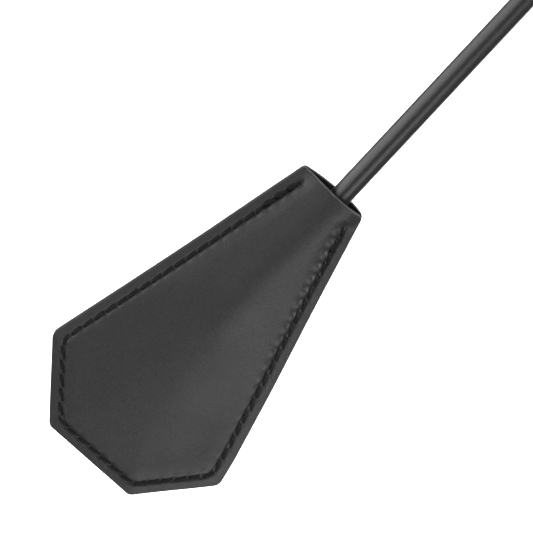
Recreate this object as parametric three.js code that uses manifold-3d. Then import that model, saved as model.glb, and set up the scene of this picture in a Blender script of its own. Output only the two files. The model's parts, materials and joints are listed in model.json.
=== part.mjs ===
// Riding crop: a sewn leather keeper on a covered fibreglass shaft, a leather grip, a butt cap
// and a wrist loop. Millimetres, +Z up.
// The origin is on the shaft's axis at the middle of the grip, where a hand holds the crop.
// The keeper hangs at the bottom with its front facing -Y, and the wrist loop stands above the butt cap.
import * as THREE from 'three';
import { mergeVertices } from 'three/addons/utils/BufferGeometryUtils.js';
import Module from 'manifold-3d';

const wasm = await Module();
wasm.setup();

// Clearance between neighbouring pieces
const GAP = 0.3;

// Heights along the crop
const GRIP_HALF = 77.5;
const CROP_LENGTH = 560;
const CAP_TOP = 102;

// Shaft
const CORE_R = 2;
const SHAFT_R = 3;
const BORE_R = SHAFT_R + GAP;

// Keeper pattern: a six-sided panel, measured down from its mouth
const KEEPER_LENGTH = 100.5;
const SHOULDER_DEPTH = 81.2;
const MOUTH_HALF = 10.4;
const SHOULDER_HALF = 30.75;
const END_HALF = 14.45;
const CORNER_ROUND = 1.8;
const LEATHER = 1.9;
const MOUTH_Z = CAP_TOP - CROP_LENGTH + KEEPER_LENGTH;
// The pattern sits a little to one side of the shaft and is turned slightly about Y
const MOUTH_X = -2.2;
const KEEPER_TURN = THREE.MathUtils.degToRad(0.66);

// Rod inside the keeper, and the line where the keeper bends below it
const ROD_DEPTH = 42;
const ROD_CAP_LENGTH = 7;
const ROD_CAP_END = 1.2;
const BEND_DEPTH = 50;
const KEEPER_HALF = LEATHER + GAP / 2;
// Reach of the blocks that divide the keeper's solids, past its sides and its faces
const PAST_SIDES = 40;
const PAST_FACES = 5;

// Seam
const SEAM_MARGIN = 3;
const SEAM_START = 4.8;
const THREAD_HALF = 0.45;
const THREAD_DEPTH = 0.5;
const GROOVE_HALF = THREAD_HALF + GAP;
const GROOVE_DEPTH = THREAD_DEPTH + GAP;

// Grip, with a ferrule below it and a collar above it
const GRIP_CORE_LOW_R = 5;
const GRIP_CORE_HIGH_R = 6.2;
const GRIP_LEATHER = 1.4;
const FERRULE_LENGTH = 16;
const FERRULE_R = 7.3;
const FERRULE_WALL = 0.8;
const FERRULE_BEAD = 3;
const FERRULE_NECK = 4;
const FERRULE_NECK_IN = 0.9;
const COLLAR_R = 8.6;
const COLLAR_HEIGHT = 5.1;
const EDGE = 0.7;

// Butt cap: a mushroom head on a stem that is glued into the grip's core, with the rod's end in the stem
const STEM_R = 4.6;
const STEM_DEPTH = 12;
const STEM_BORE_R = STEM_R + GAP;
const CAP_R = 12.4;
const CAP_FLAT_R = 6.6;
const CAP_UNDER = GRIP_HALF + COLLAR_HEIGHT + 2 * GAP;
const CAP_RIM_RISE = 5;
const CAP_UNDER_ROUND = 3;
const DOME_RISE = 6;
const DOME_REACH = 3.4;
const ROD_TOP = GRIP_HALF + 9;

// Wrist strap: two legs that come out of the cap's slot and open into a loop
const STRAP_WIDTH = 10;
const STRAP_THICK = 3;
const STRAP_HALF = STRAP_THICK + GAP / 2;
const SLOT_FLOOR = 90;
const TAIL_RISE = 0.5;
const HINGE_RISE = 3;
const STRAP_HINGE_Z = CAP_TOP + TAIL_RISE + HINGE_RISE;
const LOOP_HEIGHT = 140;
const LOOP_HALF = 27;
const LOOP_WIDEST = 34;
const LEG_LENGTH = 52;
// How far the curve's handles reach from the fork, below and above the widest point, and at the top
const FORK_HANDLE = 20;
const WIDE_HANDLE_LOW = 24;
const WIDE_HANDLE_HIGH = 19;
const TOP_HANDLE = 15;
const PIN_R = 1;
const PIN_Z = 96;
const PIN_HALF = 9.4;

// Slider
const SLIDER_HEIGHT = 10;
const SLIDER_THICK = 2;
const SLIDER_Z = STRAP_HINGE_Z + 9;
const STITCH_HALF = 0.8;
const STITCH_END = 2;

const materials = {
  leather: new THREE.MeshStandardMaterial({ color: 0x2a2a2b, roughness: 0.62 }),
  thread: new THREE.MeshStandardMaterial({ color: 0x141415, roughness: 0.75 }),
  cover: new THREE.MeshStandardMaterial({ color: 0x1e1d1d, roughness: 0.35 }),
  fibreglass: new THREE.MeshStandardMaterial({ color: 0x8d8a72, roughness: 0.5 }),
  rubber: new THREE.MeshStandardMaterial({ color: 0x101010, roughness: 0.9 }),
  wood: new THREE.MeshStandardMaterial({ color: 0x9a7b53, roughness: 0.7 }),
  plastic: new THREE.MeshStandardMaterial({ color: 0x18181a, roughness: 0.4 }),
  steel: new THREE.MeshStandardMaterial({ color: 0xb4b6b8, roughness: 0.3, metalness: 1 }),
};

const crop = new THREE.Group();
const keeper = new THREE.Group();
keeper.position.set(MOUTH_X, 0, MOUTH_Z);
keeper.rotation.y = -KEEPER_TURN;
crop.add(keeper);

function piece(name, geometry, material, group = crop) {
  const mesh = new THREE.Mesh(geometry, material);
  mesh.name = name;
  group.add(mesh);
}

// Solids for cutting and joining
function solidOf(geometry) {
  const bare = geometry.clone();
  bare.deleteAttribute('normal');
  bare.deleteAttribute('uv');
  const merged = mergeVertices(bare, 1e-4);
  const vertProperties = new Float32Array(merged.attributes.position.array);
  const triVerts = new Uint32Array(merged.index.array);
  return new wasm.Manifold(new wasm.Mesh({ numProp: 3, vertProperties, triVerts }));
}

function geometryOf(solid) {
  const mesh = solid.getMesh();
  const geometry = new THREE.BufferGeometry();
  geometry.setAttribute('position', new THREE.BufferAttribute(mesh.vertProperties, 3));
  geometry.setIndex(new THREE.BufferAttribute(mesh.triVerts, 1));
  geometry.computeVertexNormals();
  return geometry;
}

// A solid of revolution about Z from [radius, height] points, anticlockwise with radius to the right
function turned(points, segments = 32) {
  const profile = points.map(([radius, height]) => new THREE.Vector2(radius, height));
  return new THREE.LatheGeometry(profile, segments).rotateX(Math.PI / 2);
}

// A sleeve: its profile closes on itself
function sleeve(points, segments = 32) {
  return turned([...points, points[0]], segments);
}

// A flat shape in X and Z, given thickness along Y
function plate(shape, yLow, yHigh, curveSegments = 5) {
  const settings = { depth: yHigh - yLow, bevelEnabled: false, curveSegments };
  const geometry = new THREE.ExtrudeGeometry(shape, settings);
  return geometry.rotateX(Math.PI / 2).translate(0, yHigh, 0);
}

// A flat shape in Y and Z, given length along X
function bar(shape, xLow, xHigh, curveSegments = 10) {
  const settings = { depth: xHigh - xLow, bevelEnabled: false, curveSegments };
  const geometry = new THREE.ExtrudeGeometry(shape, settings);
  const turn = new THREE.Matrix4().makeBasis(
    new THREE.Vector3(0, 1, 0),
    new THREE.Vector3(0, 0, 1),
    new THREE.Vector3(1, 0, 0),
  );
  return geometry.applyMatrix4(turn).translate(xLow, 0, 0);
}

function box(low, high) {
  const size = high.map((value, axis) => value - low[axis]);
  const middle = high.map((value, axis) => (value + low[axis]) / 2);
  return new THREE.BoxGeometry(...size).translate(...middle);
}

// Keeper pattern as [x, z] corners in the keeper's own frame, clockwise from the mouth's left end
const pattern = [
  [-MOUTH_HALF, 0],
  [MOUTH_HALF, 0],
  [SHOULDER_HALF, -SHOULDER_DEPTH],
  [END_HALF, -KEEPER_LENGTH],
  [-END_HALF, -KEEPER_LENGTH],
  [-SHOULDER_HALF, -SHOULDER_DEPTH],
];

// The pattern moved inwards by a margin: each side shifts and meets its neighbours again
function inset(margin) {
  const corners = pattern.map(([x, z]) => new THREE.Vector2(x, z));
  const count = corners.length;
  const sides = corners.map((start, i) => {
    const along = corners[(i + 1) % count].clone().sub(start).normalize();
    const inward = new THREE.Vector2(along.y, -along.x);
    return { start: start.clone().addScaledVector(inward, margin), along };
  });
  return sides.map((side, i) => {
    const last = sides[(i + count - 1) % count];
    const between = side.start.clone().sub(last.start);
    const reach = between.cross(side.along) / last.along.cross(side.along);
    return last.start.clone().addScaledVector(last.along, reach);
  });
}

function roundedShape(corners, round) {
  const shape = new THREE.Shape();
  corners.forEach((corner, i) => {
    const before = corners[(i + corners.length - 1) % corners.length];
    const after = corners[(i + 1) % corners.length];
    const enter = corner.clone().add(before.clone().sub(corner).setLength(round));
    const leave = corner.clone().add(after.clone().sub(corner).setLength(round));
    if (i === 0) {
      shape.moveTo(enter.x, enter.y);
    } else {
      shape.lineTo(enter.x, enter.y);
    }
    shape.quadraticCurveTo(corner.x, corner.y, leave.x, leave.y);
  });
  shape.closePath();
  return shape;
}

function halfWidth(depth) {
  return MOUTH_HALF + ((SHOULDER_HALF - MOUTH_HALF) * depth) / SHOULDER_DEPTH;
}

function rodX(depth) {
  return -MOUTH_X - depth * Math.tan(KEEPER_TURN);
}

// How far a panel stands off the middle plane: it lies on the rod and runs straight down to the seams
function swelling(x, depth) {
  const seam = halfWidth(depth) - SEAM_MARGIN - GROOVE_HALF;
  const off = x - rodX(depth);
  const reach = off > 0 ? seam - rodX(depth) : seam + rodX(depth);
  const touch = BORE_R ** 2 / reach;
  const height = BORE_R * Math.sqrt(1 - (BORE_R / reach) ** 2);
  const away = Math.abs(off);
  const fade = 1 - THREE.MathUtils.smoothstep(depth, ROD_DEPTH + GAP, BEND_DEPTH - KEEPER_HALF - GAP);
  if (away >= reach) {
    return 0;
  }
  if (away <= touch) {
    return fade * Math.sqrt(BORE_R ** 2 - off ** 2);
  }
  return (fade * height * (reach - away)) / (reach - touch);
}

// The upper part of a panel: rows down from the mouth, columns across; side -1 is the front, 1 the back
function upperPanel(side) {
  const fadeRows = [0.5, 2, 3.5, 5, 6.5].map((step) => ROD_DEPTH + step);
  const rows = [0, 8, 16, 24, 32, ...fadeRows, BEND_DEPTH];
  const columns = 32;
  const positions = [];
  for (const layer of [0, LEATHER]) {
    for (const depth of rows) {
      for (let column = 0; column <= columns; column += 1) {
        const x = halfWidth(depth) * ((2 * column) / columns - 1);
        const stand = GAP / 2 + layer + swelling(x, depth);
        positions.push(x, side * stand, -depth);
      }
    }
  }
  const inner = (row, column) => row * (columns + 1) + column;
  const outer = (row, column) => inner(row + rows.length, column);
  const faces = [];
  const quad = (a, b, c, d) => faces.push(...(side < 0 ? [a, b, c, a, c, d] : [a, c, b, a, d, c]));
  for (let row = 0; row < rows.length - 1; row += 1) {
    for (let column = 0; column < columns; column += 1) {
      quad(outer(row + 1, column), outer(row + 1, column + 1), outer(row, column + 1), outer(row, column));
      quad(inner(row, column), inner(row, column + 1), inner(row + 1, column + 1), inner(row + 1, column));
    }
    quad(inner(row, 0), inner(row + 1, 0), outer(row + 1, 0), outer(row, 0));
    quad(inner(row + 1, columns), inner(row, columns), outer(row, columns), outer(row + 1, columns));
  }
  const last = rows.length - 1;
  for (let column = 0; column < columns; column += 1) {
    quad(inner(0, column + 1), inner(0, column), outer(0, column), outer(0, column + 1));
    quad(inner(last, column), inner(last, column + 1), outer(last, column + 1), outer(last, column));
  }
  const geometry = new THREE.BufferGeometry();
  geometry.setAttribute('position', new THREE.Float32BufferAttribute(positions, 3));
  geometry.setIndex(faces);
  return geometry;
}

// A block right across the keeper, between two heights in its own frame
function slab(zLow, zHigh) {
  return solidOf(box([-PAST_SIDES, -PAST_FACES, zLow], [PAST_SIDES, PAST_FACES, zHigh]));
}

// A round bar along the bend line
function bendBar(radius) {
  const circle = new THREE.Shape().absarc(0, 0, radius, 0, 2 * Math.PI);
  return bar(circle, -SHOULDER_HALF, SHOULDER_HALF, 24).translate(0, 0, -BEND_DEPTH);
}

// The lower part of a panel: the flat pattern with a round nose about the bend line
function lowerPanel(side) {
  const noseTop = -BEND_DEPTH + KEEPER_HALF;
  const faces = [side * (GAP / 2), side * KEEPER_HALF].sort((a, b) => a - b);
  const whole = solidOf(plate(roundedShape(inset(0), CORNER_ROUND), ...faces));
  const below = slab(-KEEPER_LENGTH - 1, -BEND_DEPTH);
  const nose = solidOf(bendBar(KEEPER_HALF));
  const above = slab(noseTop, 1);
  return whole.intersect(below.add(nose)).subtract(above);
}

// A band of the given half width that follows the seam on one face, between two depths
function seamBand(side, half, depth, from, to) {
  const shape = roundedShape(inset(SEAM_MARGIN - half), CORNER_ROUND);
  const outer = solidOf(plate(shape, -half, half));
  const hole = solidOf(plate(roundedShape(inset(SEAM_MARGIN + half), CORNER_ROUND), -2 * half, 2 * half));
  const band = geometryOf(outer.subtract(hole));
  band.scale(1, depth / (2 * half), 1);
  band.translate(0, side * (KEEPER_HALF - depth / 2), 0);
  return solidOf(band).intersect(slab(-to, -from));
}

// The thread's groove is open at the leather's surface
function grooveBand(side) {
  const floor = seamBand(side, GROOVE_HALF, GROOVE_DEPTH, SEAM_START - GAP, KEEPER_LENGTH);
  const proud = geometryOf(floor).translate(0, side * GROOVE_DEPTH / 2, 0);
  return floor.add(solidOf(proud));
}

function addPanels(name, side) {
  const groove = grooveBand(side);
  const socket = solidOf(bendBar(KEEPER_HALF + GAP));
  const upper = solidOf(upperPanel(side)).subtract(groove).subtract(socket);
  piece(`keeper_${name}_upper`, geometryOf(upper), materials.leather, keeper);
  piece(`keeper_${name}_lower`, geometryOf(lowerPanel(side).subtract(groove)), materials.leather, keeper);
}

function addThreads(name, side) {
  const run = seamBand(side, THREAD_HALF, THREAD_DEPTH, SEAM_START, BEND_DEPTH - KEEPER_HALF - GAP);
  const left = solidOf(box([-PAST_SIDES, -PAST_FACES, -BEND_DEPTH], [0, PAST_FACES, 0]));
  const right = solidOf(box([0, -PAST_FACES, -BEND_DEPTH], [PAST_SIDES, PAST_FACES, 0]));
  const lower = seamBand(side, THREAD_HALF, THREAD_DEPTH, BEND_DEPTH + GAP, KEEPER_LENGTH);
  piece(`thread_${name}_left`, geometryOf(run.intersect(left)), materials.thread, keeper);
  piece(`thread_${name}_right`, geometryOf(run.intersect(right)), materials.thread, keeper);
  piece(`thread_${name}_lower`, geometryOf(lower), materials.thread, keeper);
}

function addShaft() {
  const rodEnd = MOUTH_Z - ROD_DEPTH;
  const coreEnd = rodEnd + ROD_CAP_END + GAP;
  const coverEnd = rodEnd + ROD_CAP_LENGTH + GAP;
  const coverTop = GRIP_HALF - STEM_DEPTH - 2 * GAP;
  const inside = CORE_R + GAP;
  piece('shaft_core', turned([
    [0, coreEnd],
    [CORE_R, coreEnd],
    [CORE_R, ROD_TOP],
    [0, ROD_TOP],
  ], 16), materials.fibreglass);
  piece('shaft_cover', sleeve([
    [inside, coverEnd],
    [SHAFT_R, coverEnd],
    [SHAFT_R, coverTop],
    [inside, coverTop],
  ], 24), materials.cover);
  piece('rod_end_cap', turned([
    [0, rodEnd],
    [SHAFT_R - EDGE, rodEnd],
    [SHAFT_R, rodEnd + EDGE],
    [SHAFT_R, rodEnd + ROD_CAP_LENGTH],
    [inside, rodEnd + ROD_CAP_LENGTH],
    [inside, rodEnd + ROD_CAP_END],
    [0, rodEnd + ROD_CAP_END],
  ], 24), materials.rubber);
}

function addGrip() {
  const stemSeat = GRIP_HALF - STEM_DEPTH - GAP;
  const coverLow = GRIP_CORE_LOW_R + GAP;
  const coverHigh = GRIP_CORE_HIGH_R + GAP;
  piece('grip_core', sleeve([
    [BORE_R, -GRIP_HALF],
    [GRIP_CORE_LOW_R, -GRIP_HALF],
    [GRIP_CORE_HIGH_R, GRIP_HALF],
    [STEM_BORE_R, GRIP_HALF],
    [STEM_BORE_R, stemSeat],
    [BORE_R, stemSeat],
  ]), materials.wood);
  piece('grip_cover', sleeve([
    [coverLow, -GRIP_HALF],
    [coverLow + GRIP_LEATHER, -GRIP_HALF],
    [coverHigh + GRIP_LEATHER, GRIP_HALF],
    [coverHigh, GRIP_HALF],
  ]), materials.leather);
}

// The ferrule is a cone on the shaft with a bead at its wide end; the collar is a plain ring on the stem
function addTrim() {
  const top = -GRIP_HALF - GAP;
  const low = top - FERRULE_LENGTH;
  piece('lower_ferrule', sleeve([
    [BORE_R, low],
    [BORE_R + FERRULE_WALL, low],
    [BORE_R + FERRULE_WALL + EDGE, low + EDGE],
    [FERRULE_R - FERRULE_NECK_IN, top - FERRULE_NECK],
    [FERRULE_R, top - FERRULE_BEAD],
    [FERRULE_R, top - EDGE],
    [FERRULE_R - EDGE, top],
    [BORE_R, top],
  ]), materials.plastic);
  const bottom = GRIP_HALF + GAP;
  piece('upper_collar', sleeve([
    [STEM_BORE_R, bottom],
    [COLLAR_R - EDGE, bottom],
    [COLLAR_R, bottom + EDGE],
    [COLLAR_R, bottom + COLLAR_HEIGHT - EDGE],
    [COLLAR_R - EDGE, bottom + COLLAR_HEIGHT],
    [STEM_BORE_R, bottom + COLLAR_HEIGHT],
  ]), materials.plastic);
}

// The strap's slot goes down from the head's flat top, and the pin's hole goes across it
function addCap() {
  const rim = CAP_UNDER + CAP_RIM_RISE;
  const head = new THREE.Path();
  head.moveTo(CAP_R - CAP_UNDER_ROUND, CAP_UNDER);
  head.quadraticCurveTo(CAP_R, CAP_UNDER, CAP_R, rim);
  head.bezierCurveTo(CAP_R, rim + DOME_RISE, CAP_FLAT_R + DOME_REACH, CAP_TOP, CAP_FLAT_R, CAP_TOP);
  const dome = head.getPoints(8).map((point) => [point.x, point.y]);
  const stemEnd = GRIP_HALF - STEM_DEPTH;
  const rodBore = CORE_R + GAP;
  const whole = solidOf(sleeve([
    [rodBore, stemEnd],
    [STEM_R, stemEnd],
    [STEM_R, CAP_UNDER],
    ...dome,
    [0, CAP_TOP],
    [0, ROD_TOP + GAP],
    [rodBore, ROD_TOP + GAP],
  ], 40));
  const slotX = STRAP_HALF + GAP;
  const slotY = STRAP_WIDTH / 2 + GAP;
  const slot = solidOf(box([-slotX, -slotY, SLOT_FLOOR], [slotX, slotY, CAP_TOP + 1]));
  const cut = whole.subtract(slot).subtract(crossBar(PIN_R + GAP, CAP_R + 1));
  piece('butt_cap', geometryOf(cut), materials.plastic);
  piece('strap_pin', geometryOf(crossBar(PIN_R, PIN_HALF)), materials.steel);
}

function crossBar(radius, half) {
  const circle = new THREE.Shape().absarc(0, PIN_Z, radius, 0, 2 * Math.PI);
  return solidOf(bar(circle, -half, half, 16));
}

// Round bar along Y through the strap's bending line
function strapBar(radius) {
  const circle = new THREE.Shape().absarc(0, STRAP_HINGE_Z, radius, 0, 2 * Math.PI);
  return solidOf(plate(circle, -STRAP_WIDTH, STRAP_WIDTH, 32));
}

function addStrapTails() {
  const hole = crossBar(PIN_R + GAP, CAP_R);
  for (const [name, side] of [['left', -1], ['right', 1]]) {
    const faces = [side * (GAP / 2), side * STRAP_HALF].sort((a, b) => a - b);
    const low = [faces[0], -STRAP_WIDTH / 2, SLOT_FLOOR + GAP];
    const tail = solidOf(box(low, [faces[1], STRAP_WIDTH / 2, CAP_TOP + TAIL_RISE]));
    const shaped = tail.subtract(hole).subtract(strapBar(STRAP_HALF + GAP));
    piece(`strap_tail_${name}`, geometryOf(shaped), materials.leather);
  }
}

// The strap's centre line: up one leg, out to the widest point, over the top and down the other leg
function strapLine() {
  const leg = (STRAP_THICK + GAP) / 2;
  const foot = STRAP_HINGE_Z - STRAP_HALF - 1;
  const fork = STRAP_HINGE_Z + LEG_LENGTH;
  const top = STRAP_HINGE_Z + LOOP_HEIGHT;
  const wide = top - LOOP_WIDEST;
  const at = (x, z) => new THREE.Vector3(x, 0, z);
  const lower = (side) => [
    at(side * leg, fork),
    at(side * leg, fork + FORK_HANDLE),
    at(side * LOOP_HALF, wide - WIDE_HANDLE_LOW),
    at(side * LOOP_HALF, wide),
  ];
  const upper = (side) => [
    at(side * LOOP_HALF, wide),
    at(side * LOOP_HALF, wide + WIDE_HANDLE_HIGH),
    at(side * TOP_HANDLE, top),
    at(0, top),
  ];
  const line = new THREE.CurvePath();
  line.add(new THREE.LineCurve3(at(-leg, foot), at(-leg, fork)));
  line.add(new THREE.CubicBezierCurve3(...lower(-1)));
  line.add(new THREE.CubicBezierCurve3(...upper(-1)));
  line.add(new THREE.CubicBezierCurve3(...upper(1).reverse()));
  line.add(new THREE.CubicBezierCurve3(...lower(1).reverse()));
  line.add(new THREE.LineCurve3(at(leg, fork), at(leg, foot)));
  return line;
}

function addWristStrap() {
  const section = new THREE.Shape();
  section.moveTo(-STRAP_WIDTH / 2, -STRAP_THICK / 2);
  section.lineTo(STRAP_WIDTH / 2, -STRAP_THICK / 2);
  section.lineTo(STRAP_WIDTH / 2, STRAP_THICK / 2);
  section.lineTo(-STRAP_WIDTH / 2, STRAP_THICK / 2);
  section.closePath();
  const settings = { steps: 72, bevelEnabled: false, extrudePath: strapLine() };
  const swept = new THREE.ExtrudeGeometry(section, settings);
  const past = LOOP_HALF + STRAP_THICK;
  const aboveTop = STRAP_HINGE_Z + LOOP_HEIGHT + STRAP_THICK;
  const above = solidOf(box([-past, -STRAP_WIDTH, STRAP_HINGE_Z], [past, STRAP_WIDTH, aboveTop]));
  const strap = solidOf(swept).intersect(above.add(strapBar(STRAP_HALF)));
  piece('wrist_strap', geometryOf(strap), materials.leather);
}

// A band round both legs, closed at the back by a stitch let into its face
function addSlider() {
  const insideX = STRAP_HALF + GAP;
  const insideY = STRAP_WIDTH / 2 + GAP;
  const outsideX = insideX + SLIDER_THICK;
  const outsideY = insideY + SLIDER_THICK;
  const top = SLIDER_Z + SLIDER_HEIGHT;
  const outer = box([-outsideX, -outsideY, SLIDER_Z], [outsideX, outsideY, top]);
  const inner = box([-insideX, -insideY, SLIDER_Z - 1], [insideX, insideY, top + 1]);
  const stitchLow = [-STITCH_HALF, outsideY - THREAD_DEPTH, SLIDER_Z + STITCH_END];
  const stitchHigh = [STITCH_HALF, outsideY, top - STITCH_END];
  const recess = box(
    [stitchLow[0] - GAP, stitchLow[1] - GAP, stitchLow[2] - GAP],
    [stitchHigh[0] + GAP, stitchHigh[1] + 1, stitchHigh[2] + GAP],
  );
  const band = solidOf(outer).subtract(solidOf(inner)).subtract(solidOf(recess));
  piece('strap_slider', geometryOf(band), materials.leather);
  piece('slider_stitch', box(stitchLow, stitchHigh), materials.thread);
}

for (const [name, side] of [['front', -1], ['back', 1]]) {
  addPanels(name, side);
  addThreads(name, side);
}
addShaft();
addGrip();
addTrim();
addCap();
addStrapTails();
addWristStrap();
addSlider();

export default crop;
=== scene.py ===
import json
import math

import bmesh
import bpy
import numpy as np
from mathutils import Matrix, Vector


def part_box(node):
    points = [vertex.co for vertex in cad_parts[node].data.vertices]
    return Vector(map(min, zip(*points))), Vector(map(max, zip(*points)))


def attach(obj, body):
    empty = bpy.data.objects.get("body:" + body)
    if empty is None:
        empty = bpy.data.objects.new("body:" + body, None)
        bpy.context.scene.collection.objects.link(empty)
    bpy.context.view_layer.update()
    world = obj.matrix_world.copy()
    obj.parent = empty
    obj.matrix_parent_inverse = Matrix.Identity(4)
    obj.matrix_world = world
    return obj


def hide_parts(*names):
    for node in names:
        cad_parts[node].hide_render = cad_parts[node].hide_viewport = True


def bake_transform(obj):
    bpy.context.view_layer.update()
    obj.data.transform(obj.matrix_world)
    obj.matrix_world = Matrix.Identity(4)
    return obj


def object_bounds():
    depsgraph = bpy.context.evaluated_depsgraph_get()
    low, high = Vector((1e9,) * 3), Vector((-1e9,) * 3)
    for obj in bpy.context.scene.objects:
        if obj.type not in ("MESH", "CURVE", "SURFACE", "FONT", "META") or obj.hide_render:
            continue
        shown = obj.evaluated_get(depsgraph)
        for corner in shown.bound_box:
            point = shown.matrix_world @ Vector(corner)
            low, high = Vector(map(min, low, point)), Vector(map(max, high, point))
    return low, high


# Looks of the riding crop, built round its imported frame. Metres, +Z up, and the keeper's front faces -Y.

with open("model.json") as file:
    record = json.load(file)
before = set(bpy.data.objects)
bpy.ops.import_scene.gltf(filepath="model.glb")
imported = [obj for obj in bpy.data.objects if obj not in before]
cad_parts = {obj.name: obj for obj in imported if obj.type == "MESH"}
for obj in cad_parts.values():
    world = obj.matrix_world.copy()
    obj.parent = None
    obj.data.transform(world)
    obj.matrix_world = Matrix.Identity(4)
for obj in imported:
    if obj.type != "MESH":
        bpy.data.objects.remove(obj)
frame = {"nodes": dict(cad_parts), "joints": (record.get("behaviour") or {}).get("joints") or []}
cad_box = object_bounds()
joints = {joint["name"]: joint for joint in frame["joints"]}

MM = 0.001
CROP = "crop"
SLIDER = "slider"

# Keeper pattern in millimetres: depth is measured down from the mouth, and x across the pattern
LENGTH = 100.5
SHOULDER_DEPTH = 81.2
MOUTH_HALF = 10.4
SHOULDER_HALF = 30.75
END_HALF = 14.45
BEND_DEPTH = 50.0
LEATHER = 1.9
MIDDLE_GAP = 0.01
EDGE_ROUND = 0.42
LEFT_MOUTH_ROUND = 1.0
RIGHT_MOUTH_ROUND = 1.3
SIDE_SLOPE = (SHOULDER_HALF - MOUTH_HALF) / SHOULDER_DEPTH
BEVEL_SLOPE = (SHOULDER_HALF - END_HALF) / (LENGTH - SHOULDER_DEPTH)

# The shaft inside the keeper, in millimetres
ROD_RADIUS = 3.0
ROD_DEPTH = 42.0

# Seam in millimetres: its line, its stitches, and the marks that they pull into the leather as (size, reach)
SEAM_MARGIN = 3.1
LEFT_START = 3.8
RIGHT_START = 5.0
SEAM_ROUND = 2.2
STITCH_PITCH = 3.85
STITCH_LENGTH = 3.5
STITCH_HALF_WIDTH = 0.41
STITCH_HALF_HEIGHT = 0.34
STITCH_SLANT = math.radians(-9)
DOUBLED_STITCHES = 3
GROOVE = (0.40, 0.72)
DIMPLE = (0.35, 0.85)
PUCKER = (0.42, 0.9)

# Camera: the photograph's viewing angle
CAMERA_TILT = math.radians(12)
CAMERA_ROLL = math.radians(43.08)
CAMERA_AZIMUTH = math.radians(5)
CAMERA_LENS = 1000.0
SENSOR = 36.0
VIEW_WIDTH = 0.1439
VIEW_SIDE = -0.00172
VIEW_DEPTH = 27.9


# ---------------------------------------------------------------- keeper frame

across = Vector(joints["keeper_bend"]["axis"]).normalized()
outward = Vector((0, 1, 0))
down = outward.cross(across)
mouth = Vector(joints["keeper_bend"]["pos_m"]) - down * (BEND_DEPTH * MM)
# Where the shaft's axis crosses the pattern, by depth
ROD_X_AT_MOUTH = -mouth.x / MM
ROD_X_SLOPE = -down.x


def smooth(value, low, high):
    """0 below low, 1 above high and an S-shaped rise between them."""
    t = np.clip((value - low) / (high - low), 0, 1)
    return t * t * (3 - 2 * t)


def smooth_min(a, b, soft):
    """The smaller of two values, with the corner where they cross rounded off."""
    h = np.clip(0.5 + 0.5 * (b - a) / soft, 0, 1)
    return b * (1 - h) + a * h - soft * h * (1 - h)


def side_half(depth):
    """Half width between the pattern's two straight sides, carried on past the shoulders."""
    return MOUTH_HALF + SIDE_SLOPE * depth


def bevel_half(depth):
    """Half width between the two bevels, carried on above the shoulders."""
    return END_HALF + BEVEL_SLOPE * (LENGTH - depth)


def hand_cut(x, depth):
    """The unevenness of a hand-cut keeper: a wide left corner, a bowed right side, one shoulder lower."""
    slip, skew = 0.38, 0.02
    share = np.abs(x) / side_half(depth)
    right_bow = smooth(depth, 20, 60) * (1 - smooth(depth, 72, 82))
    left_corner = 1 - smooth(depth, 0, 40)
    x = x + share * np.where(x > 0, slip * right_bow, -slip * left_corner)
    shoulder = smooth(depth, 45, SHOULDER_DEPTH - 2) * (1 - smooth(depth, SHOULDER_DEPTH + 2, LENGTH))
    return x, depth + skew * x * shoulder


def keeper_points(x, depth, stand):
    """World points from pattern millimetres: x across, depth below the mouth, stand along +Y."""
    x, depth = hand_cut(np.asarray(x, float), np.asarray(depth, float))
    x, depth, stand = (v * MM for v in (x, depth, np.asarray(stand, float)))
    parts = [(across, x), (down, depth), (outward, stand)]
    return np.array(mouth) + sum(np.multiply.outer(v, np.array(axis)) for axis, v in parts)


# ---------------------------------------------------------------- mesh helpers

def new_object(name, vertices, faces, material, smooth_angle=40):
    """A mesh with outward normals, smooth across edges flatter than smooth_angle degrees."""
    mesh = bpy.data.meshes.new(name)
    mesh.from_pydata([tuple(v) for v in vertices], [], faces)
    work = bmesh.new()
    work.from_mesh(mesh)
    bmesh.ops.remove_doubles(work, verts=work.verts, dist=1e-7)
    bmesh.ops.recalc_face_normals(work, faces=work.faces)
    work.to_mesh(mesh)
    work.free()
    mesh.update()
    obj = bpy.data.objects.new(name, mesh)
    bpy.context.scene.collection.objects.link(obj)
    mesh.materials.append(material)
    mesh.shade_smooth()
    mesh.set_sharp_from_angle(angle=math.radians(smooth_angle))
    return obj


def grid_faces(rows, columns, start=0, wrap=False):
    """Quads of a rows by columns grid of vertices; wrap joins the last column to the first."""
    faces = []
    for i in range(rows - 1):
        for j in range(columns if wrap else columns - 1):
            k = (j + 1) % columns
            a, b = start + i * columns + j, start + i * columns + k
            faces.append((a, b, b + columns, a + columns))
    return faces


def shell(outer, inner):
    """A closed skin between two open grids of the same size: (vertices, faces)."""
    rows, columns = outer.shape[:2]
    count = rows * columns
    vertices = np.concatenate([outer.reshape(-1, 3), inner.reshape(-1, 3)])
    faces = grid_faces(rows, columns)
    faces += [face[::-1] for face in grid_faces(rows, columns, count)]
    border = [(0, j) for j in range(columns)]
    border += [(i, columns - 1) for i in range(1, rows)]
    border += [(rows - 1, j) for j in range(columns - 2, -1, -1)]
    border += [(i, 0) for i in range(rows - 2, 0, -1)]
    for (i, j), (k, m) in zip(border, border[1:] + border[:1]):
        a, b = i * columns + j, k * columns + m
        faces.append((b, a, a + count, b + count))
    return vertices, faces


def turned(name, profile, material, around=96, smooth_angle=40):
    """A solid of revolution about Z; its profile is (radius, height) in millimetres and closes on itself."""
    angles = np.linspace(0, 2 * math.pi, around, endpoint=False)
    radius, height = np.array(profile, float).T * MM
    points = np.stack([
        np.multiply.outer(radius, np.cos(angles)),
        np.multiply.outer(radius, np.sin(angles)),
        np.repeat(height[:, None], around, axis=1),
    ], axis=-1)
    faces = grid_faces(len(profile), around, wrap=True)
    return new_object(name, points.reshape(-1, 3), faces, material, smooth_angle)


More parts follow.
